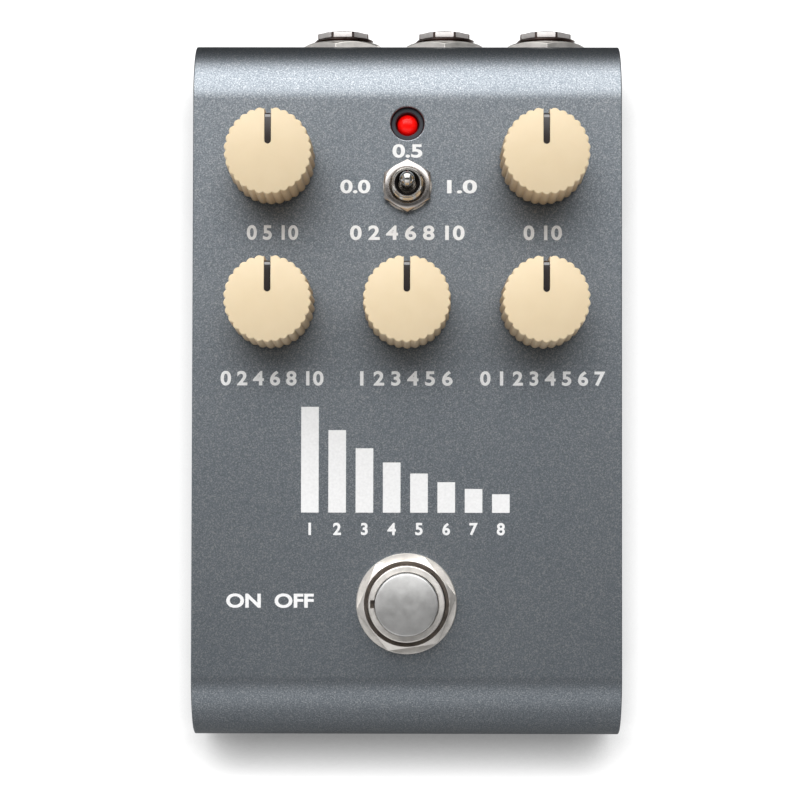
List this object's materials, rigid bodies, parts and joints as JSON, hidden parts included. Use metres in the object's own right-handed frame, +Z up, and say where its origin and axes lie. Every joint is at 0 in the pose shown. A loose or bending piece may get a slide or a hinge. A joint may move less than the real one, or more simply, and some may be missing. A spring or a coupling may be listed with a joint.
{
  "type": "tape echo unit",
  "caption": "Compact floor-standing tape echo effect with a folded grey metal case, fluted cream knobs, a mini toggle, a red lamp, a footswitch and rear phone jacks.",
  "frame": {"origin": "on the floor plane under the middle of the whole unit, jack noses included", "axes": "+X to the player's right, +Y to the jack side, +Z up out of the top face"},
  "size_m": [0.066, 0.1108, 0.0432],
  "materials": {
    "case_grey": "fine metallic slate-grey anodised or powder finish, satin",
    "knob_cream": "moulded cream plastic, satin",
    "pointer_black": "glossy black-brown insert",
    "shaft_steel": "turned steel",
    "nickel": "bright nickel plate",
    "cap_satin": "satin nickel",
    "black_plastic": "moulded black plastic",
    "lamp_red": "clear-tinted red epoxy lamp",
    "board_green": "solder mask on glass-fibre board",
    "chip_black": "moulded chip packages",
    "can_aluminium": "drawn aluminium cans",
    "rubber_black": "matt rubber",
    "screw_black": "black-oxide steel",
    "spring_steel": "spring wire",
    "contact_brass": "spring brass"
  },
  "bodies": {
    "case": {"base_screws": "screw_black", "base_tray": "case_grey", "board_capacitors": "can_aluminium", "board_chips": "chip_black", "clinch_nuts": "shaft_steel", "control_body_mechanics": "black_plastic", "control_body_mix": "black_plastic", "control_body_repeats": "black_plastic", "control_body_tape_age": "black_plastic", "control_body_time": "black_plastic", "control_necks": "shaft_steel", "control_nuts": "nickel", "control_washers": "nickel", "footswitch_body": "black_plastic", "footswitch_bushing": "nickel", "footswitch_contact": "black_plastic", "footswitch_nut": "nickel", "footswitch_spring": "spring_steel", "footswitch_washer": "nickel", "jack_body_expression": "black_plastic", "jack_body_input": "black_plastic", "jack_body_output": "black_plastic", "jack_contacts": "contact_brass", "jack_nuts": "nickel", "jack_sleeve_expression": "nickel", "jack_sleeve_input": "nickel", "jack_sleeve_output": "nickel", "lamp_holder": "black_plastic", "lamp_lens": "lamp_red", "main_board": "board_green", "power_jack_body": "black_plastic", "power_jack_pin": "nickel", "rubber_feet": "rubber_black", "toggle_body": "black_plastic", "toggle_bushing": "nickel", "toggle_nut": "nickel", "toggle_washer": "nickel", "top_cover": "case_grey", "usb_shell": "nickel", "usb_tongue": "black_plastic"},
    "time_knob": {"knob_time": "knob_cream", "pointer_time": "pointer_black", "shaft_time": "shaft_steel"},
    "mix_knob": {"knob_mix": "knob_cream", "pointer_mix": "pointer_black", "shaft_mix": "shaft_steel"},
    "tape_age_knob": {"knob_tape_age": "knob_cream", "pointer_tape_age": "pointer_black", "shaft_tape_age": "shaft_steel"},
    "repeats_knob": {"knob_repeats": "knob_cream", "pointer_repeats": "pointer_black", "shaft_repeats": "shaft_steel"},
    "mechanics_knob": {"knob_mechanics": "knob_cream", "pointer_mechanics": "pointer_black", "shaft_mechanics": "shaft_steel"},
    "lever": {"toggle_lever": "nickel"},
    "cap": {"footswitch_cap": "cap_satin"}
  },
  "joints": [
    {"name": "time_turn", "type": "hinge", "parent": "case", "child": "time_knob", "pos_m": [-0.0208, 0.03285, 0.0295], "axis": [0, 0, 1], "range_deg": [-150, 150]},
    {"name": "mix_turn", "type": "hinge", "parent": "case", "child": "mix_knob", "pos_m": [0.0208, 0.03285, 0.0295], "axis": [0, 0, 1], "range_deg": [-150, 150]},
    {"name": "tape_age_turn", "type": "hinge", "parent": "case", "child": "tape_age_knob", "pos_m": [-0.0208, 0.01075, 0.0295], "axis": [0, 0, 1], "range_deg": [-150, 150]},
    {"name": "repeats_turn", "type": "hinge", "parent": "case", "child": "repeats_knob", "pos_m": [0, 0.01075, 0.0295], "axis": [0, 0, 1], "range_deg": [-150, 150]},
    {"name": "mechanics_turn", "type": "hinge", "parent": "case", "child": "mechanics_knob", "pos_m": [0.0208, 0.01075, 0.0295], "axis": [0, 0, 1], "range_deg": [-150, 150]},
    {"name": "toggle_throw", "type": "hinge", "parent": "case", "child": "lever", "pos_m": [0, 0.0291, 0.031], "axis": [0, 1, 0], "range_deg": [-12, 12]},
    {"name": "footswitch_press", "type": "slide", "parent": "case", "child": "cap", "axis": [0, 0, -1], "range_m": [0, 0.0015], "stiffness_N_per_m": 600, "springref_m": -0.003, "deforming": ["footswitch_spring"]}
  ]
}
